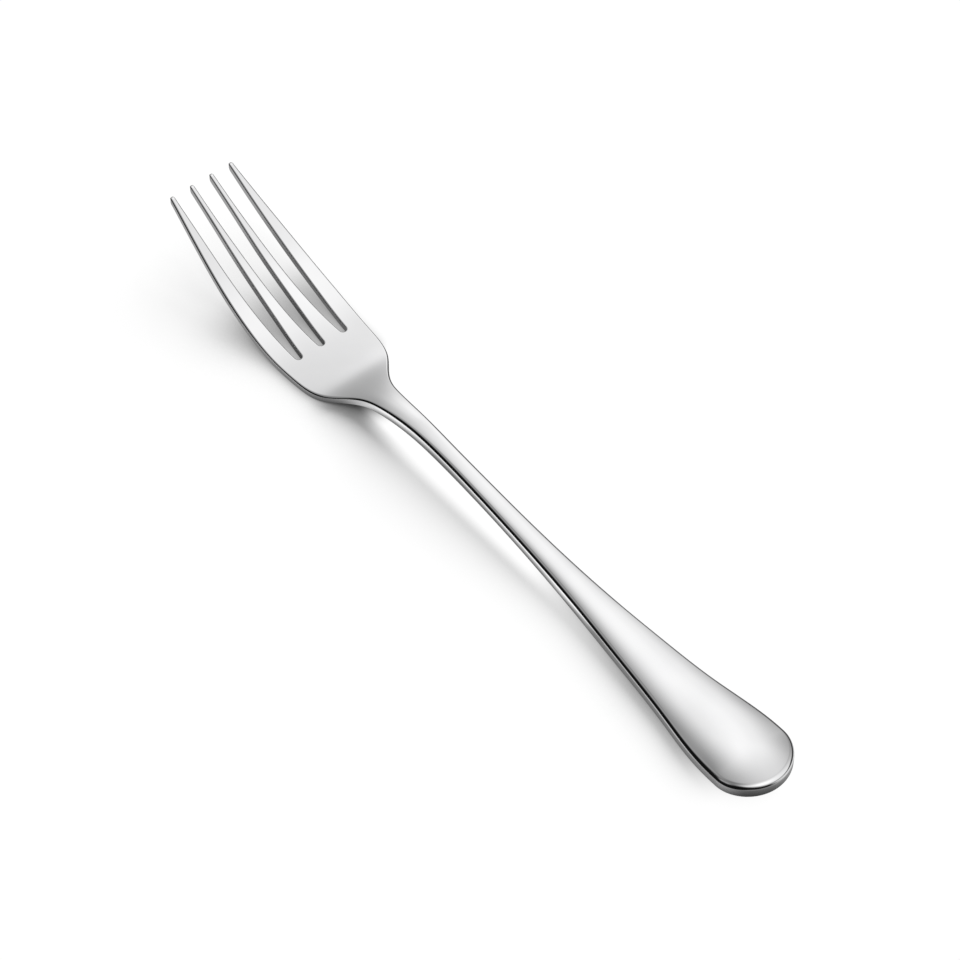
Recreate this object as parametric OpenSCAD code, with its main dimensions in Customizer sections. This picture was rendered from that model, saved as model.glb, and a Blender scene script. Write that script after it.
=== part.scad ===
// Dinner fork lying on its back: a pear-shaped handle, a slim arched neck,
// a broad head and four tapering tines that curve up to rounded tips.
// The real fork is one pressed and polished piece of steel. Its named regions
// are separate solids here, and they meet face to face.
// X runs along the fork, tine tips at +X. Z = 0 is the table.

/* [Overall] */
// Length from the end of the handle to the tine tips
length = 200; // [185:1:215]
// Height of the tine tips' upper face above the table
tip_height = 20.3; // [17:0.1:23]
// Height of the neck's underside above the table
arch_height = 4.4; // [3.6:0.1:5]

/* [Handle] */
// Width of the handle 15 mm from its end, close to its widest
handle_width = 19; // [17:0.5:21]
// Length of the rounded end
end_round = 9; // [8:0.5:11]
// Height of the handle's edge
handle_thick = 3.2; // [2.8:0.1:3.6]
// Rise of the handle's upper face above its edge
handle_crown = 1.8; // [1:0.1:2.2]
// Radius along the upper edges at the handle's end, less towards the tines
edge_radius = 1.7; // [1.3:0.1:1.9]
// Radius along the lower edges
lower_radius = 0.35; // [0.2:0.05:0.5]
// Width of the neck where it is slimmest
neck_width = 4.6; // [4:0.1:6]

/* [Head] */
// Widest part of the head
head_width = 23.7; // [22:0.1:26]
// Thickness of the head
head_thick = 2; // [1.7:0.1:2.4]
// Width of the slots between the tines at their root
slot_width = 1.6; // [1.2:0.1:2]
// Spacing of the slots at their root
slot_pitch = 6.45; // [6.2:0.05:6.8]

/* [Tines] */
// Length of the tines from the round ends of the slots
tine_length = 44.7; // [43:0.1:46]
// Spacing of the tine tips
tip_pitch = 5.55; // [5.3:0.05:5.8]
// Width of a tine at its tip
tip_width = 1; // [0.8:0.1:1.2]
// Thickness of the tines
tine_thick = 2.2; // [1.8:0.1:2.6]

/* [Hidden] */

steel = [0.78, 0.78, 0.79];
// Stations are given for a 200 mm fork and stretch with its length
k = length / 200;
hw = handle_width / 2;
nw = neck_width / 2;
dw = head_width / 2;
sr = slot_width / 2;
// Stations of the faces where the regions meet
x_stem = 60;
x_neck = 108;
x_head = 132;
x_tine = (length - tine_length + sr) / k;

// Half width of the outline, without the rounding of the handle's end
function of_handle(f) = nw + (hw - nw) * f;
function of_head(f) = nw + (dw - nw) * f;
plan = [
    [0, of_handle(0.98)], [15, of_handle(1)], [30, of_handle(0.7)],
    [45, of_handle(0.45)], [60, of_handle(0.24)], [80, of_handle(0.07)],
    [100, of_handle(0)], [115, of_head(0)], [125, of_head(0.045)],
    [131, of_head(0.105)], [135, of_head(0.2)], [139, of_head(0.435)],
    [143, of_head(0.74)], [147, of_head(0.895)], [152, of_head(0.955)],
    [160, of_head(1)], [170, of_head(0.985)], [180, of_head(0.915)],
    [190, of_head(0.805)], [200, 1.5 * tip_pitch + tip_width / 2]];

// Height of the underside. Below 0 it is ground flat on the table plane.
ka = arch_height / 4.4;
kt = (tip_height - tine_thick) / 18.1;
under = [
    [0, 1.2], [10, 0.6], [20, 0.03], [35, 0.05], [55, 0.5 * ka],
    [75, 1.9 * ka], [95, 3.5 * ka], [110, 4.3 * ka], [120, 4.4 * ka],
    [128, 3.5 * ka], [136, 1.9 * ka], [143, 0.3 * ka], [150, -0.03],
    [158, 0.4], [166, 2.1 * kt], [175, 5.2 * kt], [185, 9.85 * kt],
    [200, 18.1 * kt]];

// Height of the edge, from the underside to the upper face
wall = [
    [0, handle_thick + 0.4], [30, handle_thick - 0.1],
    [60, handle_thick + 0.2], [90, handle_thick - 0.1],
    [120, handle_thick + 0.1], [135, 2.6], [150, head_thick],
    [170, tine_thick - 0.05], [200, tine_thick]];

// Rise of the upper face above the edge, as a share of the crown
crown = [
    [0, 0], [4, 0.43], [9, 0.83], [16, 1], [30, 0.64], [45, 0.45], [60, 0.345],
    [80, 0.235], [100, 0.155], [112, 0.155], [120, 0.135], [126, 0.11],
    [131, 0.12], [136, 0.09], [141, 0.05], [147, 0], [170, 0], [200, 0]];

// Radius along the upper edges, as a share of the one at the handle's end
soft = [
    [0, 1], [12, 0.97], [30, 0.82], [60, 0.735], [100, 0.645], [115, 0.59],
    [125, 0.47], [132, 0.38], [140, 0.325], [150, 0.265], [165, 0.265],
    [180, 0.265], [200, 0.235]];

// Edges of the tines at their root and along their length
root_in = slot_pitch - sr;
root_out = slot_pitch + sr;
tip_in = tip_pitch / 2 - tip_width / 2;
tip_mid = tip_pitch / 2 + tip_width / 2;
tip_out = 1.5 * tip_pitch - tip_width / 2;
gap_mid = [[x_tine, sr], [166, 1.42], [175, 1.7], [184, 1.92], [192, 2.16],
           [200, tip_in]];
gap_in = [[x_tine, root_in], [166, 4.77], [175, 4.25], [184, 3.87],
          [192, 3.52], [200, tip_mid]];
gap_out = [[x_tine, root_out], [166, 7.7], [175, 7.84], [184, 7.8],
           [192, 7.76], [200, tip_out]];

// Smooth curve through knots [station, value], straight at both ends
function sweep(p, i = 1, acc = [[0, 0]]) =
    i >= len(p) - 1 ? acc :
    let (h0 = p[i][0] - p[i - 1][0], h1 = p[i + 1][0] - p[i][0],
         b = 2 * (h0 + h1) - h0 * acc[i - 1][0],
         s = 6 * ((p[i + 1][1] - p[i][1]) / h1 - (p[i][1] - p[i - 1][1]) / h0)
             - h0 * acc[i - 1][1])
    sweep(p, i + 1, concat(acc, [[h1 / b, s / b]]));
function unwind(acc, i, tail) =
    i < 0 ? tail :
    unwind(acc, i - 1, concat([acc[i][1] - acc[i][0] * tail[0]], tail));
function bends(p) = let (a = sweep(p)) unwind(a, len(a) - 1, [0]);
function span(p, x) =
    max([for (j = [0 : len(p) - 2]) if (j == 0 || x >= p[j][0]) j]);
function curve(p, m, x) =
    let (i = span(p, x), h = p[i + 1][0] - p[i][0],
         a = (p[i + 1][0] - x) / h, b = (x - p[i][0]) / h)
    a * p[i][1] + b * p[i + 1][1]
    + ((a * a * a - a) * m[i] + (b * b * b - b) * m[i + 1]) * h * h / 6;

plan_m = bends(plan);
under_m = bends(under);
wall_m = bends(wall);
crown_m = bends(crown);
soft_m = bends(soft);
mid_m = bends(gap_mid);
in_m = bends(gap_in);
out_m = bends(gap_out);

function round_end(x) =
    x >= end_round ? 1 : sqrt(1 - pow(1 - max(x, 0.06) / end_round, 2));
function half_w(x) = curve(plan, plan_m, x) * round_end(x);
function bottom(x) = curve(under, under_m, x);
function edge_h(x) = curve(wall, wall_m, x);
function rise(x) = handle_crown * curve(crown, crown_m, x);
function edge_r(x) = edge_radius * curve(soft, soft_m, x);
// Fall of the upper face where the edge's rounding runs round the handle's end
function fall(x) =
    let (q = edge_r(x)) x >= q ? 0 : q - sqrt(q * q - pow(q - x, 2));

// Upright section across the fork between the side edges ya and yb: rounded
// lower edges, upper edges rounded by q (g wide) and a crowned upper face that
// the rounding meets without a step
crown_power = 2.3;
function crown_z(y, b, c) = c * (1 - pow(abs(y) / b, crown_power));
function crown_slope(y, b, c) =
    c * crown_power / b * pow(abs(y) / b, crown_power - 1);
function lean(h, b, c, q, g, i = 6, up = 0) =
    i == 0 ? up :
    lean(h, b, c, q, g, i - 1,
         atan(crown_slope(h - g * (1 - sin(up)), b, c) * g / q));
low_arc = [0, 30, 60, 90];
up_steps = 5;
function section(x, ya, yb, zb, t, c, n, q, g) =
    let (h = (yb - ya) / 2, y0 = (ya + yb) / 2, zt = zb + t,
         p = min(lower_radius, 0.4 * h, 0.35 * t),
         b = h - min(0.35, 0.3 * h),
         up = lean(h, b, c, q, g),
         yc = h - g * (1 - sin(up)),
         zc = zt + crown_z(yc, b, c) - q * cos(up),
         X = k * x - length / 2,
         turn = [for (j = [0 : up_steps]) up + (90 - up) * j / up_steps])
    concat(
        [for (a = low_arc) [X, y0 - h + p - p * sin(a), zb + p - p * cos(a)]],
        [for (j = [up_steps : -1 : 0])
            [X, y0 - h + g - g * sin(turn[j]), zc + q * cos(turn[j])]],
        [for (j = [1 : n]) let (y = yc * (-1 + 2 * j / (n + 1)))
            [X, y0 + y, zt + crown_z(y, b, c)]],
        [for (j = [0 : up_steps])
            [X, y0 + h - g + g * sin(turn[j]), zc + q * cos(turn[j])]],
        [for (a = low_arc) [X, y0 + h - p + p * cos(a), zb + p - p * sin(a)]]);

// Closed solid through a row of sections
module loft(rows) {
    n = len(rows[0]);
    m = len(rows);
    polyhedron(
        points = [for (r = rows) each r],
        faces = concat(
            [[for (j = [n - 1 : -1 : 0]) j]],
            [for (i = [0 : m - 2]) for (j = [0 : n - 1]) each
                let (a = i * n + j, b = i * n + (j + 1) % n)
                [[a, b, b + n], [a, b + n, a + n]]],
            [[for (j = [0 : n - 1]) (m - 1) * n + j]]));
}

function body_row(x) =
    let (w = half_w(x), t = edge_h(x), f = fall(x),
         q = max(0.08, min(edge_r(x), 0.6 * t) - f),
         g = min(q / round_end(x), 0.6 * w))
    section(x, -w, w, bottom(x), t - f, rise(x), 11, q, g);
function steps(a, b, s) =
    let (n = max(1, round((b - a) / s))) [for (i = [0 : n]) a + (b - a) * i / n];
module body(stations) loft([for (x = stations) body_row(x)]);

// Everything under the table plane, cut away where the fork rests
module table() {
    translate([-length, -50, -20]) cube([2 * length, 100, 20]);
}

module handle_end() {
    color(steel) difference() {
        body(concat([0],
                    [for (a = [10 : 5 : 85]) end_round * (1 - cos(a))],
                    steps(end_round, x_stem, 2.5)));
        table();
    }
}

module stem() {
    color(steel) body(steps(x_stem, x_neck, 3));
}

module neck() {
    color(steel) body(steps(x_neck, x_head, 2));
}

module head() {
    color(steel) difference() {
        body(steps(x_head, x_tine, 1.5));
        table();
        for (y = [-slot_pitch, 0, slot_pitch])
            translate([k * x_tine - length / 2, y, -5])
                cylinder(r = sr, h = 20, $fn = 48);
    }
}

// One tine between two edge curves. Its tip is rounded off.
module tine(pa, ma, pb, mb, side) {
    function row(x, g) =
        let (e = [side * curve(pa, ma, x), side * curve(pb, mb, x)],
             y0 = (e[0] + e[1]) / 2, h = abs(e[1] - e[0]) / 2 * g,
             t = edge_h(x), z0 = bottom(x) + t / 2,
             q = min(edge_r(x), 0.6 * h, 0.45 * t * g))
        section(x, y0 - h, y0 + h, z0 - t / 2 * g, t * g, 0, 3, q, q);
    color(steel) loft(concat(
        [for (x = steps(x_tine, 199, 2)) row(x, 1)],
        [row(199.55, 0.92), row(199.85, 0.72), row(200, 0.4)]));
}

module outer_tine_left() tine(gap_out, out_m, plan, plan_m, 1);
module inner_tine_left() tine(gap_mid, mid_m, gap_in, in_m, 1);
module inner_tine_right() tine(gap_mid, mid_m, gap_in, in_m, -1);
module outer_tine_right() tine(gap_out, out_m, plan, plan_m, -1);

handle_end();
stem();
neck();
head();
outer_tine_left();
inner_tine_left();
inner_tine_right();
outer_tine_right();
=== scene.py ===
import math

import bmesh
import bpy
import numpy as np
from mathutils import Matrix, Vector


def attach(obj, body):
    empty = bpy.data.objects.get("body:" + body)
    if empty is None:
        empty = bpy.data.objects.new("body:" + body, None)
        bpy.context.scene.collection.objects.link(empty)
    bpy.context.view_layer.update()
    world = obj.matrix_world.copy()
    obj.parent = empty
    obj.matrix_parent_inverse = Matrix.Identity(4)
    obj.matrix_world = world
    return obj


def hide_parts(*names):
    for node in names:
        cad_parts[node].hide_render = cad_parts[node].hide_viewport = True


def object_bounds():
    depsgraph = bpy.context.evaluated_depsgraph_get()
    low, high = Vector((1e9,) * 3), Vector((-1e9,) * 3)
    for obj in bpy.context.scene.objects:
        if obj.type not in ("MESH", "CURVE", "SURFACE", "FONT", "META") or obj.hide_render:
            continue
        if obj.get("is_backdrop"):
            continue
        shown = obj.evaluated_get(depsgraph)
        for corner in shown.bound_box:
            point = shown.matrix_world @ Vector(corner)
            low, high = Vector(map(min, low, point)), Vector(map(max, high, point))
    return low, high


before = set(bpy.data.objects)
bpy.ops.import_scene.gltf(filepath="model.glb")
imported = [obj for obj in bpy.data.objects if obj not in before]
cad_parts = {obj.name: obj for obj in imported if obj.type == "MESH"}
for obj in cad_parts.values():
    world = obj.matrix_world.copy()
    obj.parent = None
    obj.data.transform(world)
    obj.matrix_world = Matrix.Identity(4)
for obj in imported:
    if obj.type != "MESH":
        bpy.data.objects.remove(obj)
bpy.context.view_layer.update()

# ----------------------------------------------------------------------------
# Shape. Millimetres, x = station from the end of the handle (0) to the tips
# (200), y across the fork, z up from the table. The mesh is written in metres
# with its origin at the middle of the fork's length.
# ----------------------------------------------------------------------------


class Curve:
    """Smooth curve through (station, value) knots, straight at both ends."""

    def __init__(self, *knots):
        self.x = np.array([k[0] for k in knots], float)
        self.v = np.array([k[1] for k in knots], float)
        n, h = len(knots), np.diff(self.x)
        a, b = np.eye(n), np.zeros(n)
        for i in range(1, n - 1):
            a[i, i - 1 : i + 2] = h[i - 1], 2 * (h[i - 1] + h[i]), h[i]
            b[i] = 6 * (
                (self.v[i + 1] - self.v[i]) / h[i]
                - (self.v[i] - self.v[i - 1]) / h[i - 1]
            )
        self.m = np.linalg.solve(a, b)

    def _at(self, x):
        x = np.asarray(x, float)
        i = np.clip(np.searchsorted(self.x, x, side="right") - 1, 0, len(self.x) - 2)
        h = self.x[i + 1] - self.x[i]
        return i, h, (self.x[i + 1] - x) / h, (x - self.x[i]) / h

    def __call__(self, x):
        i, h, a, b = self._at(x)
        bend = (a**3 - a) * self.m[i] + (b**3 - b) * self.m[i + 1]
        return a * self.v[i] + b * self.v[i + 1] + bend * h * h / 6

    def slope(self, x):
        i, h, a, b = self._at(x)
        bend = (3 * b * b - 1) * self.m[i + 1] - (3 * a * a - 1) * self.m[i]
        return (self.v[i + 1] - self.v[i]) / h + bend * h / 6


HANDLE, NECK, HEAD = 9.5, 2.3, 11.845  # half widths
END = 9.0  # length of the handle's rounded end
CROWN = 1.8  # rise of the handle's upper face above its edge
CROWN_POWER = 2.3
SLOT_R, SLOT_PITCH = 0.8, 6.45
X_TINE = 156.1
TIP_X, TIP_ROUND, TIP_POWER = 200.0, 1.0, 2.4


def of_handle(f):
    return NECK + (HANDLE - NECK) * f


def of_head(f):
    return NECK + (HEAD - NECK) * f


plan = Curve(
    (0, of_handle(0.98)), (15, of_handle(1)), (30, of_handle(0.7)),
    (45, of_handle(0.45)), (60, of_handle(0.24)), (80, of_handle(0.07)),
    (100, of_handle(0)), (115, of_head(0)), (125, of_head(0.045)),
    (131, of_head(0.105)), (135, of_head(0.2)), (139, of_head(0.435)),
    (143, of_head(0.74)), (147, of_head(0.895)), (152, of_head(0.955)),
    (160, of_head(1)), (170, of_head(0.985)), (180, of_head(0.915)),
    (190, of_head(0.805)), (200, 8.825),
)
under = Curve(
    (0, 1.2), (10, 0.6), (20, 0.03), (35, 0.05), (55, 0.5), (75, 1.9),
    (95, 3.5), (110, 4.3), (120, 4.4), (128, 3.5), (136, 1.9), (143, 0.3),
    (150, -0.03), (158, 0.4), (166, 2.1), (175, 5.2), (185, 9.85), (200, 18.1),
)
wall = Curve(
    (0, 3.6), (30, 3.1), (60, 3.4), (90, 3.1), (120, 3.3), (135, 2.6),
    (150, 2.0), (170, 2.15), (200, 2.2),
)
crown = Curve(
    (0, 0), (4, 0.43), (9, 0.83), (16, 1), (30, 0.64), (45, 0.45), (60, 0.345),
    (80, 0.235), (100, 0.155), (112, 0.155), (120, 0.135), (126, 0.11), (131, 0.12),
    (136, 0.09), (141, 0.05), (147, 0), (170, 0), (200, 0),
)
# Radius along the upper edges, and along the lower ones
edge = Curve(
    (0, 1.7), (12, 1.65), (30, 1.4), (60, 1.25), (100, 1.1), (115, 1.0),
    (125, 0.8), (132, 0.65), (140, 0.55), (150, 0.45), (165, 0.45), (180, 0.45),
    (200, 0.4),
)
LOW_EDGE = 0.35
# Edges of the tines: inner and outer edge of an inner tine, inner edge of an
# outer tine. The outer edge of an outer tine is the plan itself.
tine_edges = [
    Curve((X_TINE, 0.8), (166, 1.42), (175, 1.7), (184, 1.92), (192, 2.16), (200, 2.275)),
    Curve((X_TINE, 5.65), (166, 4.77), (175, 4.25), (184, 3.87), (192, 3.52), (200, 3.275)),
    Curve((X_TINE, 7.25), (166, 7.7), (175, 7.84), (184, 7.8), (192, 7.76), (200, 7.825)),
]


def half_width(x):
    x = np.asarray(x, float)
    return plan(x) * np.sqrt(1 - np.clip(1 - x / END, 0, 1) ** 2)


def top_z(x, y):
    """Upper face: an edge line that follows the fork, crowned across."""
    inner = np.maximum(half_width(x) * (1 - 0.35 / plan(x)), 0.05)
    share = np.abs(y / inner) ** CROWN_POWER
    return under(x) + wall(x) + CROWN * crown(x) * (1 - share)


def top_slope(x, y):
    e = 1e-4
    return (
        (top_z(x + e, y) - top_z(x - e, y)) / (2 * e),
        (top_z(x, y + e) - top_z(x, y - e)) / (2 * e),
    )


def low_z(x):
    return np.maximum(under(x), 0)


def low_slope(x):
    return np.where(under(x) > 0, under.slope(x), 0)


def edge_radius(x, room):
    return np.minimum(edge(x), 0.6 * room)


def low_radius(x, room):
    return np.minimum(LOW_EDGE + 0 * x, 0.6 * room)


N_LOW, N_UP = 7, 11


def edge_chain(p, n, room, share=1.0):
    """Rounded edge along an outline p with outward normals n. Each row runs from
    the underside round the lower edge, up the wall and round the upper edge.
    Returns positions and profile normals, both (rows, N_LOW + N_UP, 3)."""
    r = share * edge_radius(p[:, 0], room)
    q = share * low_radius(p[:, 0], room)
    up = np.zeros(len(p))
    for _ in range(6):
        c = p - (r * (1 - np.sin(up)))[:, None] * n
        gx, gy = top_slope(c[:, 0], c[:, 1])
        up = np.arctan(-(gx * n[:, 0] + gy * n[:, 1]))
    z_up = top_z(c[:, 0], c[:, 1]) - r * np.cos(up)
    low = np.zeros(len(p))
    for _ in range(6):
        c = p - (q * (1 - np.sin(low)))[:, None] * n
        low = np.arctan(low_slope(c[:, 0]) * n[:, 0])
    z_low = low_z(c[:, 0]) + q * np.cos(low)
    rows, normals = [], []
    for k in range(N_LOW):
        a = low + (math.pi / 2 - low) * k / (N_LOW - 1)
        xy = p - (q * (1 - np.sin(a)))[:, None] * n
        rows.append(np.column_stack([xy, z_low - q * np.cos(a)]))
        normals.append(np.column_stack([n * np.sin(a)[:, None], -np.cos(a)]))
    for k in range(N_UP):
        a = math.pi / 2 + (up - math.pi / 2) * k / (N_UP - 1)
        xy = p - (r * (1 - np.sin(a)))[:, None] * n
        rows.append(np.column_stack([xy, z_up + r * np.cos(a)]))
        normals.append(np.column_stack([n * np.sin(a)[:, None], np.cos(a)]))
    return np.stack(rows, 1), np.stack(normals, 1)


def unit(v):
    return v / np.linalg.norm(v, axis=-1, keepdims=True)


def lean(pos, normal, ahead=None):
    """Profile normals made square to the way each line of the chain runs.
    ahead replaces the run of the first row."""
    t = np.empty_like(pos)
    t[1:-1] = pos[2:] - pos[:-2]
    t[0], t[-1] = pos[1] - pos[0], pos[-1] - pos[-2]
    if ahead is not None:
        t[0] = ahead
    t = unit(t)
    return unit(normal - (normal * t).sum(-1, keepdims=True) * t)


def stations(a, b, step):
    return np.linspace(a, b, max(2, int(round((b - a) / step)) + 1))


# Rows of the body, from the end of the handle to the ends of the slots
turn = np.radians(np.linspace(0, 90, 31))
x_end = END * (1 - np.cos(turn))
SLOT_SHARE = 0.95  # the slots' edges are a little sharper than the outer ones
r_slot = SLOT_SHARE * float(edge_radius(X_TINE, 2.4))
x_split = X_TINE - SLOT_R - r_slot
x_body = np.concatenate([
    x_end,
    stations(END, 60, 0.7)[1:],
    stations(60, 108, 0.8)[1:],
    stations(108, 132, 0.6)[1:],
    stations(132, x_split, 0.4)[1:],
])
slot_turn = np.radians(np.linspace(0, 90, 13))
x_slot = X_TINE - (SLOT_R + r_slot) * np.cos(slot_turn)
x_tines = stations(X_TINE, TIP_X - TIP_ROUND, 0.55)
x_strip = np.concatenate([x_slot, x_tines[1:]])  # the first row is the body's last
x_side = np.concatenate([x_body, x_strip[1:]])


def side_outline():
    """Left side of the plan outline with its outward normals."""
    x = x_side
    y = half_width(x)
    g, dg = plan(x), plan.slope(x)
    a = np.where(x < END, np.arccos(np.clip(1 - x / END, -1, 1)), math.pi / 2)
    tx = np.where(x < END, END * np.sin(a), 1.0)
    ty = np.where(x < END, dg * END * np.sin(a) ** 2 + g * np.cos(a), dg)
    n = unit(np.column_stack([-ty, tx]))
    return np.column_stack([x, y]), n


def slot_outline(sign, line, flip, centre):
    """One side of a slot: from the middle of its round end along the half
    circle and then along a tine's edge line, on the side given by flip. sign is
    the way the material lies."""
    c, s = np.cos(slot_turn), np.sin(slot_turn)
    arc = np.column_stack([X_TINE - SLOT_R * c, centre + sign * SLOT_R * s])
    arc_n = np.column_stack([c, -sign * s])
    x = x_tines
    run = np.column_stack([x, flip * line(x)])
    run_n = unit(np.column_stack([flip * line.slope(x) * sign, -sign * np.ones_like(x)]))
    p = np.concatenate([arc, run[1:]])
    n = np.concatenate([arc_n, run_n[1:]])
    n[len(arc) - 1] = unit(arc_n[-1] + run_n[0])
    return p, n


class Net:
    """All vertices of the fork with their normals."""

    def __init__(self):
        self.pos, self.nor, self.count = [], [], 0

    def add(self, pos, nor):
        pos = np.asarray(pos, float).reshape(-1, 3)
        nor = unit(np.asarray(nor, float).reshape(-1, 3))
        self.pos.append(pos)
        self.nor.append(nor)
        self.count += len(pos)
        return np.arange(self.count - len(pos), self.count)

    def done(self):
        self.pos, self.nor = np.concatenate(self.pos), np.concatenate(self.nor)


net = Net()
K = N_LOW + N_UP
mirror = np.array([1, -1, 1.0])

# Outer sides, left and right. They share the row at the end of the handle.
p, n = side_outline()
tine_half = (half_width(x_side) - tine_edges[2](np.maximum(x_side, X_TINE))) / 2
room = np.where(x_side > X_TINE, tine_half, 2.4)
room = np.minimum(room, np.where(x_side < 100, 9.0, np.maximum(half_width(x_side), 0.5)))
side_pos, side_prof = edge_chain(p, n, room)
side_nor = lean(side_pos, side_prof, ahead=np.array([0, 1.0, 0]))
rows = len(x_side)
left = net.add(side_pos, side_nor).reshape(rows, K)
right = net.add(side_pos * mirror, side_nor * mirror).reshape(rows, K)
right[0] = left[0]

# Slots: for each, its two sides. They share the row at the slot's round end.
slots = {}
for centre in (-SLOT_PITCH, 0.0, SLOT_PITCH):
    made = {}
    for sign in (-1, 1):
        if centre == 0:
            line, flip = tine_edges[0], sign
        else:
            outer = sign * centre > 0
            line, flip = tine_edges[2 if outer else 1], np.sign(centre)

        p, n = slot_outline(sign, line, flip, centre)
        x = p[:, 0]
        xs = np.maximum(x, X_TINE)
        inner_half = (tine_edges[1](xs) - tine_edges[0](xs)) / 2
        outer_half = (half_width(xs) - tine_edges[2](xs)) / 2
        is_inner = centre == 0 or sign * centre < 0
        pos, prof = edge_chain(p, n, inner_half if is_inner else outer_half, SLOT_SHARE)
        nor = lean(pos, prof, ahead=np.array([0, 1.0, 0]))
        made[sign] = net.add(pos, nor).reshape(len(p), K)
    made[1][0] = made[-1][0]
    slots[centre] = made

PER = 9  # spaces across each strip
n_body, n_strip = len(x_body), len(x_strip)


def between(a, b, share, upper):
    """Vertices on the upper or lower face between two edge vertices."""
    pos = np.concatenate(net.pos)
    pa, pb = pos[a], pos[b]
    xy = pa[:2] + np.outer(share, (pb - pa)[:2])
    x, y = xy[:, 0], xy[:, 1]
    if upper:
        gx, gy = top_slope(x, y)
        z, nor = top_z(x, y), np.column_stack([-gx, -gy, np.ones_like(x)])
    else:
        z = low_z(x)
        nor = np.column_stack([low_slope(x), np.zeros_like(x), -np.ones_like(x)])
    return net.add(np.column_stack([x, y, z]), nor)


class Ring:
    """One row round a solid: right edge, upper face, left edge, lower face."""

    def __init__(self, right, top, left, low):
        self.right, self.top, self.left, self.low = right, top, left, low

    def loop(self):
        return np.concatenate([self.right, self.top, self.left[::-1], self.low[::-1]])

    def cap(self):
        over = [self.right[-1], *self.top, self.left[-1]]
        below = [self.right[0], *self.low, self.left[0]]
        faces = [list(self.right), list(self.left[::-1])]
        for i in range(len(over) - 1):
            faces.append([below[i + 1], below[i], over[i], over[i + 1]])
        return faces


# Shares of the width at which the faces are divided: the slots' middle lines
# are among them, so that the slots open on existing vertices.
pos_now = np.concatenate(net.pos)
in_up = pos_now[left[n_body - 1][-1]][1]
in_low = pos_now[left[n_body - 1][0]][1]
steps = np.arange(1, PER) / PER


def shares(inner):
    m = SLOT_PITCH / inner
    marks = [-1, -m, 0, m, 1]
    out = []
    for i in range(4):
        out.extend(marks[i] + (marks[i + 1] - marks[i]) * steps)
        if i < 3:
            out.append(marks[i + 1])
    return (np.array(out) + 1) / 2


s_up, s_low = shares(in_up), shares(in_low)
body_rings = []
for i in range(n_body - 1):
    if i == 0:
        tip_up, tip_low = left[0][-1], left[0][0]
        top = np.full(len(s_up), tip_up)
        low = np.full(len(s_low), tip_low)
    else:
        top = between(right[i][-1], left[i][-1], s_up, True)
        low = between(right[i][0], left[i][0], s_low, False)
    body_rings.append(Ring(right[i], top, left[i], low))

# Strips: the body's last row and on, one for each tine
edges = [
    (lambda k: right[n_body - 1 + k], lambda k: slots[-SLOT_PITCH][-1][k]),
    (lambda k: slots[-SLOT_PITCH][1][k], lambda k: slots[0.0][-1][k]),
    (lambda k: slots[0.0][1][k], lambda k: slots[SLOT_PITCH][-1][k]),
    (lambda k: slots[SLOT_PITCH][1][k], lambda k: left[n_body - 1 + k]),
]
strips = []
for a, b in edges:
    strips.append([
        Ring(a(k), between(a(k)[-1], b(k)[-1], steps, True),
             b(k), between(a(k)[0], b(k)[0], steps, False))
        for k in range(n_strip)
    ])
last_top, last_low = [], []
for i, strip in enumerate(strips):
    last_top.extend(strip[0].top)
    last_low.extend(strip[0].low)
    if i < 3:
        last_top.append(strip[0].left[-1])
        last_low.append(strip[0].left[0])
body_rings.append(
    Ring(right[n_body - 1], np.array(last_top), left[n_body - 1], np.array(last_low))
)


# Tips: the last row of each tine closes over a rounded cap
def close_tip(ring):
    loop = ring.loop()
    pos, nor = np.concatenate(net.pos)[loop], np.concatenate(net.nor)[loop]
    x0 = TIP_X - TIP_ROUND
    y0 = (pos[ring_at(ring, "right")][1] + pos[ring_at(ring, "left")][1]) / 2
    z0 = float(under(x0) + wall(x0) / 2)
    rise = float(under.slope(x0) + wall.slope(x0) / 2)
    flat = unit(nor * np.array([0, 1, 1.0]))
    along = np.column_stack([np.zeros(len(loop)), -flat[:, 2], flat[:, 1]])
    loops = [loop]
    e = 2 / TIP_POWER
    for b in np.radians([5, 12, 21, 31, 42, 53, 64, 74, 83]):
        sb, cb = math.sin(b), math.cos(b)
        x = x0 + TIP_ROUND * sb**e
        out = pos - np.array([x0, y0, z0])
        now = np.array([x, y0, z0 + rise * (x - x0)]) + out * cb**e
        run = np.array([1, 0, rise]) * TIP_ROUND * sb ** (e - 1) * cb - out * cb ** (e - 1) * sb
        normal = np.cross(run, along)
        normal *= np.sign((normal * (nor + np.array([1e-3, 0, 0]))).sum(1))[:, None]
        loops.append(net.add(now, normal))
    tip = net.add([[TIP_X, y0, z0 + rise * TIP_ROUND]], [[1, 0, 0]])
    return loops, tip[0]


def ring_at(ring, side):
    """Place in the loop of the middle of a ring's right or left wall."""
    k = N_LOW
    return k if side == "right" else K + len(ring.top) + (K - 1 - k)


tips = [close_tip(strip[-1]) for strip in strips]
net.done()


def skin(a, b):
    """Faces between two loops of equal length. Repeated corners are dropped."""
    faces = []
    m = len(a)
    for j in range(m):
        quad = [a[j], a[(j + 1) % m], b[(j + 1) % m], b[j]]
        kept = [v for i, v in enumerate(quad) if v != quad[i - 1]]
        if len(set(kept)) >= 3:
            faces.append(kept)
    return faces


def fork_row(x):
    return int(np.argmin(np.abs(x_body - x)))


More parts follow.
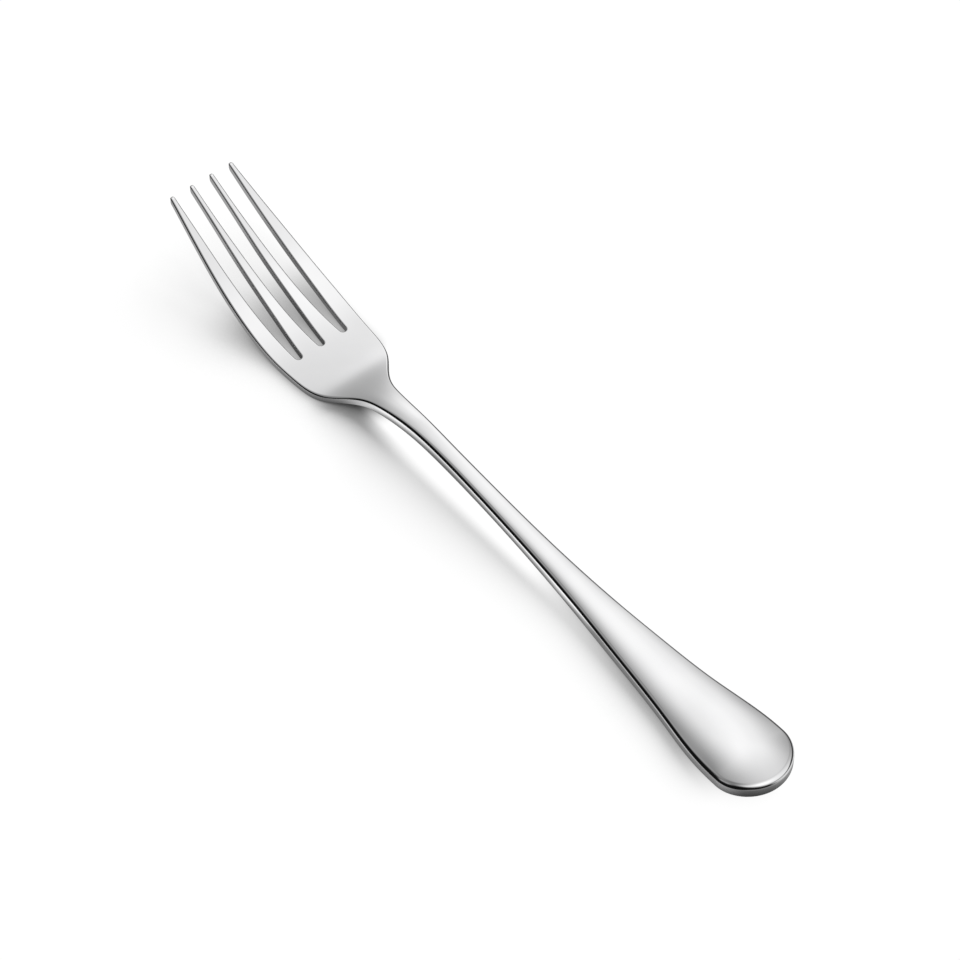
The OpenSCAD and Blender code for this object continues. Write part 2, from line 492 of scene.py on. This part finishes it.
cut = [0, fork_row(60), fork_row(108), fork_row(132), n_body - 1]
k_tine = len(slot_turn) - 1
shapes = {}
for name, a, b in (
    ("handle_end", cut[0], cut[1]),
    ("stem", cut[1], cut[2]),
    ("neck", cut[2], cut[3]),
    ("head", cut[3], cut[4]),
):
    skins = []
    for i in range(a, b):
        skins += skin(body_rings[i].loop(), body_rings[i + 1].loop())
    caps = []
    if a > 0:
        caps.append((body_rings[a], -1))
    if name != "head":
        caps.append((body_rings[b], 1))
    else:
        for strip in strips:
            for k in range(k_tine):
                skins += skin(strip[k].loop(), strip[k + 1].loop())
            caps.append((strip[k_tine], 1))
    shapes[name] = skins, caps
for name, strip, (loops, tip) in zip(
    ("outer_tine_right", "inner_tine_right", "inner_tine_left", "outer_tine_left"),
    strips,
    tips,
):
    skins = []
    for k in range(k_tine, n_strip - 1):
        skins += skin(strip[k].loop(), strip[k + 1].loop())
    for a, b in zip(loops, loops[1:]):
        skins += skin(a, b)
    skins += skin(loops[-1], np.full(len(loops[-1]), tip))
    shapes[name] = skins, [(strip[k_tine], -1)]


def build(name, skins, caps):
    """One closed mesh with exact normals on its skin and flat cut faces."""
    pos, nor = net.pos, net.nor
    faces, normals = [], []
    for f in skins:
        c = pos[f]
        flat = np.zeros(3)
        for i in range(1, len(f) - 1):
            flat += np.cross(c[i] - c[0], c[i + 1] - c[0])
        f = f if flat @ nor[f].sum(0) >= 0 else f[::-1]
        faces.append(f)
        normals.extend(nor[f])
    for ring, way in caps:
        for f in ring.cap():
            c = pos[f]
            flat = sum(np.cross(c[i] - c[0], c[i + 1] - c[0]) for i in range(1, len(f) - 1))
            f = f if flat[0] * way >= 0 else f[::-1]
            faces.append(f)
            normals.extend([(way, 0, 0)] * len(f))
    used = sorted({int(v) for f in faces for v in f})
    place = {v: i for i, v in enumerate(used)}
    co = (pos[used] - np.array([100, 0, 0])) / 1000
    mesh = bpy.data.meshes.new(name + "_steel")
    mesh.from_pydata(co.tolist(), [], [[place[int(v)] for v in f] for f in faces], shade_flat=False)
    mesh.validate(clean_customdata=False)
    mesh.normals_split_custom_set([tuple(map(float, v)) for v in normals])
    mesh.update()
    obj = bpy.data.objects.new(name + "_steel", mesh)
    bpy.context.scene.collection.objects.link(obj)
    return obj


# ----------------------------------------------------------------------------
# Finish: mirror-polished stainless steel with fine lengthwise polishing marks
# ----------------------------------------------------------------------------


def polished_steel():
    mat = bpy.data.materials.new("polished_steel")
    mat.use_nodes = True
    nt = mat.node_tree
    bsdf = nt.nodes["Principled BSDF"]
    bsdf.inputs["Metallic"].default_value = 1.0
    where = nt.nodes.new("ShaderNodeTexCoord")

    def stretched(scale):
        m = nt.nodes.new("ShaderNodeMapping")
        m.inputs["Scale"].default_value = scale
        nt.links.new(where.outputs["Object"], m.inputs["Vector"])
        return m.outputs["Vector"]

    def noise(vector, scale, detail, rough):
        n = nt.nodes.new("ShaderNodeTexNoise")
        n.inputs["Scale"].default_value = scale
        n.inputs["Detail"].default_value = detail
        n.inputs["Roughness"].default_value = rough
        nt.links.new(vector, n.inputs["Vector"])
        return n.outputs["Fac"]

    def spread(value, low, high, to_low, to_high):
        m = nt.nodes.new("ShaderNodeMapRange")
        for key, v in (("From Min", low), ("From Max", high), ("To Min", to_low), ("To Max", to_high)):
            m.inputs[key].default_value = v
        nt.links.new(value, m.inputs["Value"])
        return m.outputs["Result"]

    def added(a, b):
        m = nt.nodes.new("ShaderNodeMath")
        m.operation = "ADD"
        nt.links.new(a, m.inputs[0])
        nt.links.new(b, m.inputs[1])
        return m.outputs["Value"]

    marks = noise(stretched((60, 2600, 2600)), 1.0, 3.0, 0.6)
    cloud = noise(where.outputs["Object"], 55.0, 4.0, 0.55)
    grain = noise(where.outputs["Object"], 2400.0, 2.0, 0.5)
    rough = added(spread(cloud, 0.35, 0.7, 0.05, 0.085), spread(marks, 0.45, 0.75, 0.0, 0.03))
    nt.links.new(rough, bsdf.inputs["Roughness"])

    tone = nt.nodes.new("ShaderNodeMix")
    tone.data_type = "RGBA"
    tone.inputs["A"].default_value = (0.70, 0.70, 0.705, 1)
    tone.inputs["B"].default_value = (0.74, 0.74, 0.743, 1)
    nt.links.new(spread(cloud, 0.35, 0.7, 0, 1), tone.inputs["Factor"])
    nt.links.new(tone.outputs["Result"], bsdf.inputs["Base Color"])

    bump = nt.nodes.new("ShaderNodeBump")
    bump.inputs["Strength"].default_value = 0.05
    bump.inputs["Distance"].default_value = 0.00002
    nt.links.new(added(marks, grain), bump.inputs["Height"])
    nt.links.new(bump.outputs["Normal"], bsdf.inputs["Normal"])
    return mat


steel = polished_steel()
for name, (skins, caps) in shapes.items():
    piece = build(name, skins, caps)
    piece.data.materials.append(steel)
    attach(piece, "root")
    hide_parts(name)

# ----------------------------------------------------------------------------
# Camera
# ----------------------------------------------------------------------------
AZIMUTH, ELEVATION = math.radians(50.64), math.radians(52.31)
DISTANCE = 0.8907
target = Vector((0.00359, -0.00403, 0))
ahead = Vector((math.sin(AZIMUTH), -math.cos(AZIMUTH), 0))
side = ahead.cross(Vector((0, 0, 1)))
look = ahead * math.cos(ELEVATION) - Vector((0, 0, math.sin(ELEVATION)))
above = side.cross(look)

cam_data = bpy.data.cameras.new("camera")
cam_data.lens = 150
cam_data.sensor_width = 36
cam_data.clip_start, cam_data.clip_end = 0.01, 50
camera = bpy.data.objects.new("camera", cam_data)
bpy.context.scene.collection.objects.link(camera)
turned = Matrix((side, above, -look)).transposed().to_4x4()
turned.translation = target - look * DISTANCE
camera.matrix_world = turned
bpy.context.scene.camera = camera

# ----------------------------------------------------------------------------
# Stage: white floor, a soft light tent that the steel reflects, and one soft
# light from the side for the shadow. The floor also has a painted shadow under
# the fork and a painted reflection that only the steel sees.
# ----------------------------------------------------------------------------
scene = bpy.context.scene
scene.view_settings.view_transform = "Standard"
scene.view_settings.look = "None"
scene.view_settings.exposure = 0
scene.view_settings.gamma = 1

world = bpy.data.worlds.new("world")
scene.world = world
world.use_nodes = True
world.node_tree.nodes["Background"].inputs["Color"].default_value = (1, 1, 1, 1)
world.node_tree.nodes["Background"].inputs["Strength"].default_value = 0.53

floor_mesh = bpy.data.meshes.new("floor")
floor_mesh.from_pydata([(-3, -3, 0), (3, -3, 0), (3, 3, 0), (-3, 3, 0)], [], [(0, 1, 2, 3)])
floor = bpy.data.objects.new("floor", floor_mesh)
floor.location.z = -0.00002
scene.collection.objects.link(floor)
# Helpers for the node trees of the stage. nt is the tree at hand.


def math_node(kind, a, b=None, clamp=False):
    m = nt.nodes.new("ShaderNodeMath")
    m.operation = kind
    m.use_clamp = clamp
    for socket, v in zip(m.inputs, (a, b)):
        if isinstance(v, (int, float)):
            socket.default_value = v
        elif v is not None:
            nt.links.new(v, socket)
    return m.outputs["Value"]


def smooth(value, low, high, to_low=0.0, to_high=1.0):
    m = nt.nodes.new("ShaderNodeMapRange")
    m.interpolation_type = "SMOOTHSTEP"
    for key, v in (("From Min", low), ("From Max", high), ("To Min", to_low), ("To Max", to_high)):
        m.inputs[key].default_value = v
    nt.links.new(value, m.inputs["Value"])
    return m.outputs["Result"]


def bell(value, middle, width):
    """exp(-((value - middle) / width)^2 / 2)"""
    d = math_node("DIVIDE", math_node("SUBTRACT", value, middle), width)
    return math_node("EXPONENT", math_node("MULTIPLY", math_node("MULTIPLY", d, d), -0.5))


def product(*values):
    out = values[0]
    for v in values[1:]:
        out = math_node("MULTIPLY", out, v)
    return out


# The floor's material paints shade and light: a shadow painted by position where the camera sees the floor, and a
# painted reflection for the steel
floor_mat = bpy.data.materials.new("floor_painted_shadow_and_reflection")
floor_mat.use_nodes = True
nt = floor_mat.node_tree
nt.nodes.clear()
out = nt.nodes.new("ShaderNodeOutputMaterial")
where = nt.nodes.new("ShaderNodeTexCoord")
place = nt.nodes.new("ShaderNodeSeparateXYZ")
nt.links.new(where.outputs["Object"], place.inputs["Vector"])
along, over = place.outputs["X"], place.outputs["Y"]
nook = nt.nodes.new("ShaderNodeAmbientOcclusion")
nook.samples = 16
nook.inputs["Distance"].default_value = 0.02
open_sky = nook.outputs["AO"]

# Seen directly: bright, with the soft side light's shadow under the stem and
# neck and a close contact shadow under the head. The floor mixes a glowing
# emission (painted light) with a diffuse surface that takes the real shadow,
# and how much of that shadow shows is painted by position.
white = nt.nodes.new("ShaderNodeBsdfDiffuse")
white.inputs["Color"].default_value = (0.9, 0.9, 0.9, 1)
# painted light: an emission that keeps the floor white where the real shadow is hidden
painted_fill_glow = nt.nodes.new("ShaderNodeEmission")
painted_fill_glow.inputs["Strength"].default_value = 1.02
near_side = smooth(over, -0.002, 0.002)
# painted shadow: the share of the real side-light shadow that shows is set by position along and across the fork
painted_shadow_share = math_node("SUBTRACT", 0.62, product(bell(along, -0.038, 0.012), 0.16))
painted_shadow_share = product(painted_shadow_share, smooth(along, -0.095, -0.077), smooth(along, 0.046, 0.04))
# painted light: a lighter gap between the stem's edge and its shadow
painted_light_gap = product(smooth(along, -0.04, -0.02), smooth(along, 0.038, 0.03), smooth(over, 0.0068, 0.003))
painted_shadow_share = product(painted_shadow_share, math_node("SUBTRACT", 1, painted_light_gap))
# painted shadow: extra shade at the root of the neck
painted_neck_shadow = product(bell(along, 0.033, 0.007), smooth(over, 0.0025, 0.0045), 0.38)
painted_shadow_share = math_node("ADD", painted_shadow_share, painted_neck_shadow, clamp=True)
painted_shadow_share = product(painted_shadow_share, near_side)
painted_shadow_share = math_node("ADD", painted_shadow_share, smooth(along, 0.056, 0.068, 0, 0.2))
seen = nt.nodes.new("ShaderNodeMixShader")
nt.links.new(painted_shadow_share, seen.inputs["Fac"])
nt.links.new(painted_fill_glow.outputs["Emission"], seen.inputs[1])
nt.links.new(white.outputs["BSDF"], seen.inputs[2])
# painted contact shadow: the floor goes towards black near the fork, set by position and by the AO node's
# occlusion
painted_contact_shadow = math_node("ADD", smooth(along, 0.028, 0.038), product(bell(along, -0.065, 0.016), 0.7))
far_limit = math_node("ADD", over, smooth(along, 0.038, 0.05, 0, 0.011))
painted_contact_shadow = product(painted_contact_shadow, smooth(far_limit, -0.004, 0.0015), smooth(along, 0.07, 0.084, 1, 0.35))
slot_part = product(smooth(along, 0.052, 0.058), smooth(over, 0.0105, 0.008), 0.2)
painted_contact_shadow = product(painted_contact_shadow, math_node("SUBTRACT", 1, slot_part))
closed = math_node("SUBTRACT", 0.97, open_sky, clamp=True)
painted_contact_shadow = math_node("MULTIPLY", painted_contact_shadow, math_node("POWER", closed, 0.75), clamp=True)
# painted shadow: a black emission that the contact shadow mixes in
painted_shadow_black = nt.nodes.new("ShaderNodeEmission")
painted_shadow_black.inputs["Strength"].default_value = 0
floor_with_painted_contact = nt.nodes.new("ShaderNodeMixShader")
nt.links.new(painted_contact_shadow, floor_with_painted_contact.inputs["Fac"])
nt.links.new(seen.outputs["Shader"], floor_with_painted_contact.inputs[1])
nt.links.new(painted_shadow_black.outputs["Emission"], floor_with_painted_contact.inputs[2])

# Seen by every ray but camera rays, so mirrored in the steel: a painted reflection, a glowing white board on the
# near side, dark beyond it, its brightness painted by position and by the AO node's occlusion
near_edge = math_node("SUBTRACT", over, product(math_node("MAXIMUM", math_node("SUBTRACT", along, 0.04), 0), 0.27))
near_edge = math_node("SUBTRACT", near_edge, product(smooth(along, -0.06, -0.075), 0.002))
near_edge = math_node("ADD", near_edge, smooth(along, 0.06, 0.08, 0, 0.005))
near_edge = math_node("ADD", near_edge, smooth(along, 0.085, 0.1, 0, 0.003))
stem_edge = product(smooth(along, -0.07, -0.03, 0.0004, 0.0016), smooth(along, 0.045, 0.03), smooth(along, -0.092, -0.087))
near_edge = math_node("ADD", near_edge, stem_edge)
far_edge = math_node("ADD", over, product(smooth(along, -0.085, -0.095), 0.006))
behind = product(smooth(over, 0.002, -0.006), smooth(along, -0.16, -0.13))
end = product(bell(along, -0.0995, 0.004), bell(over, 0.007, 0.0045), 0.5)
painted_reflection_board = product(
    smooth(near_edge, 0.0118, 0.0095),
    smooth(far_edge, -0.013, -0.009),
    math_node("MAXIMUM", smooth(along, -0.109, -0.104), behind),
    smooth(along, 0.125, 0.112),
    math_node("ADD", smooth(along, -0.1, -0.087, 0.4, 1), product(behind, 0.6), clamp=True),
    math_node("SUBTRACT", 1, end),
    math_node("SUBTRACT", 1, product(bell(along, 0.042, 0.004), 0.5)),
    smooth(along, 0.07, 0.085, 1, 0.55),
)
# painted reflection brightness: darker where the AO node finds the fork close
glow = math_node("ADD", smooth(open_sky, 0.35, 0.7, 0.05, 0.28), smooth(open_sky, 0.72, 0.86, 0, 0.55))
stem_part = product(smooth(along, -0.045, -0.035), smooth(along, 0.04, 0.03))
stem_over = math_node("SUBTRACT", over, smooth(along, -0.018, 0.034, 0, 0.0012))
stem_over = math_node("SUBTRACT", stem_over, smooth(along, -0.03, -0.04, 0, 0.0005))
stem_glow = smooth(stem_over, 0.004, 0.0054, 0.18, 1.45)
glow = math_node("ADD", glow, product(stem_part, math_node("SUBTRACT", stem_glow, glow)))
painted_reflection = product(glow, painted_reflection_board)
# painted reflection: an emission that the floor shows to all rays other than camera rays
strip = nt.nodes.new("ShaderNodeEmission")
painted_far_reflection = product(smooth(along, -0.085, -0.065, 0.09, 0.2), smooth(along, 0.03, 0.055, 1, 0.4))
painted_far_reflection = product(smooth(over, 0.0, -0.01), painted_far_reflection)
nt.links.new(math_node("ADD", math_node("ADD", painted_reflection, painted_far_reflection), 0.008), strip.inputs["Strength"])
# camera rays see the floor with its painted shadow, all other rays see the painted reflection
path = nt.nodes.new("ShaderNodeLightPath")
direct_or_painted_reflection = nt.nodes.new("ShaderNodeMixShader")
nt.links.new(path.outputs["Is Camera Ray"], direct_or_painted_reflection.inputs["Fac"])
nt.links.new(strip.outputs["Emission"], direct_or_painted_reflection.inputs[1])
nt.links.new(floor_with_painted_contact.outputs["Shader"], direct_or_painted_reflection.inputs[2])
nt.links.new(direct_or_painted_reflection.outputs["Shader"], out.inputs["Surface"])
floor_mesh.materials.append(floor_mat)
floor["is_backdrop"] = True

TENT = 0.3
bm_mesh = bpy.data.meshes.new("light_tent")
bm = bmesh.new()
bmesh.ops.create_uvsphere(bm, u_segments=96, v_segments=48, radius=TENT)
bmesh.ops.reverse_faces(bm, faces=bm.faces)
bm.to_mesh(bm_mesh)
bm.free()
tent = bpy.data.objects.new("light_tent", bm_mesh)
scene.collection.objects.link(tent)
tent.visible_camera = False
tent.visible_diffuse = False
tent.visible_shadow = False
tent.visible_transmission = False
tent.visible_volume_scatter = False
tent_mat = bpy.data.materials.new("tent_light")
tent_mat.use_nodes = True
tent_mat.cycles.emission_sampling = "NONE"
nt = tent_mat.node_tree
nt.nodes.clear()
out = nt.nodes.new("ShaderNodeOutputMaterial")
glow = nt.nodes.new("ShaderNodeEmission")
nt.links.new(glow.outputs["Emission"], out.inputs["Surface"])
where = nt.nodes.new("ShaderNodeTexCoord")
aim = nt.nodes.new("ShaderNodeVectorMath")
aim.operation = "NORMALIZE"
nt.links.new(where.outputs["Object"], aim.inputs[0])


def toward(direction):
    d = nt.nodes.new("ShaderNodeVectorMath")
    d.operation = "DOT_PRODUCT"
    d.inputs[1].default_value = direction
    nt.links.new(aim.outputs["Vector"], d.inputs[0])
    return d.outputs["Value"]


def in_view(theta, lam):
    """Direction by its angle up over the far side and its angle to the right."""
    t, l = math.radians(theta), math.radians(lam)
    flat = ahead * math.cos(t) + Vector((0, 0, 1)) * math.sin(t)
    return flat * math.cos(l) + side * math.sin(l)


def lobe(theta, lam, width):
    """Round soft patch of light, width in degrees."""
    near = math_node("SUBTRACT", toward(in_view(theta, lam)), 1)
    return math_node("EXPONENT", math_node("DIVIDE", near, 1 - math.cos(math.radians(width))))


across = toward(side)
forward = toward(ahead)
height = toward((0, 0, 1))
# Broad light over the far side, brightest along the middle
far = smooth(forward, -0.1, 0.4)
broad = product(
    smooth(across, -0.75, 0.08),
    smooth(across, 0.7, 0.34),
    smooth(math_node("ADD", height, product(across, 0.66)), -0.29, 0.51),
    0.73,
)
broad = math_node("ADD", broad, product(bell(across, 0.19, 0.095), 0.14))
light = product(broad, far)
# Light panel at the near right, and four small soft lights
panel = product(smooth(across, -0.28, 0.62), smooth(forward, 0.53, -0.52), 0.88)
light = math_node("ADD", light, panel)
light = math_node("ADD", light, product(lobe(31, -8, 8), 0.26))
light = math_node("ADD", light, product(lobe(146, 5, 10), 0.4))
light = math_node("ADD", light, product(lobe(138, 26, 15), 0.45))
light = math_node("ADD", light, product(lobe(80, 2, 10), 0.08))
light = math_node("ADD", light, smooth(forward, -0.5, 0.0, 0.28, 0.41))
# Dark low down on the near side and on the left, and five soft dark patches
low_cut = math_node("ADD", height, product(math_node("MAXIMUM", across, 0), 0.55))
low_cut = math_node("ADD", low_cut, product(math_node("MAXIMUM", forward, 0), 1.6))
light = product(
    light,
    smooth(low_cut, 0.28, 0.7),
    smooth(across, -0.93, -0.72),
    smooth(math_node("SUBTRACT", height, product(math_node("MINIMUM", forward, 0), 0.6)), 0.07, 0.27),
    math_node("SUBTRACT", 1, product(lobe(26, -32, 11), 0.65)),
    math_node("SUBTRACT", 1, product(lobe(12, 21, 10), 0.75)),
    math_node("SUBTRACT", 1, product(lobe(6, -16, 5), 0.8)),
    math_node("SUBTRACT", 1, product(lobe(114, -6, 14), 0.31)),
    math_node("SUBTRACT", 1, product(lobe(90, -24, 9), 0.3)),
)
# Weak fill from the near left
light = math_node("ADD", light, product(lobe(152, -28, 9), 0.35))
light = math_node("ADD", light, product(lobe(150, -43, 9), 0.4))
light = math_node("ADD", light, 0.006)
nt.links.new(light, glow.inputs["Strength"])
bm_mesh.materials.append(tent_mat)
tent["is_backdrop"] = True

key_data = bpy.data.lights.new("side_light", "SUN")
key_data.energy = 3.35
key_data.angle = math.radians(48)
key = bpy.data.objects.new("side_light", key_data)
scene.collection.objects.link(key)
toward_key = (side * 0.57 + ahead * 0.57 + Vector((0, 0, 1)) * 0.59).normalized()
key.matrix_world = toward_key.to_track_quat("Z", "Y").to_matrix().to_4x4()
key.visible_glossy = False

# ----------------------------------------------------------------------------
# Size of the visual model: its bounds
# ----------------------------------------------------------------------------
low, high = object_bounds()
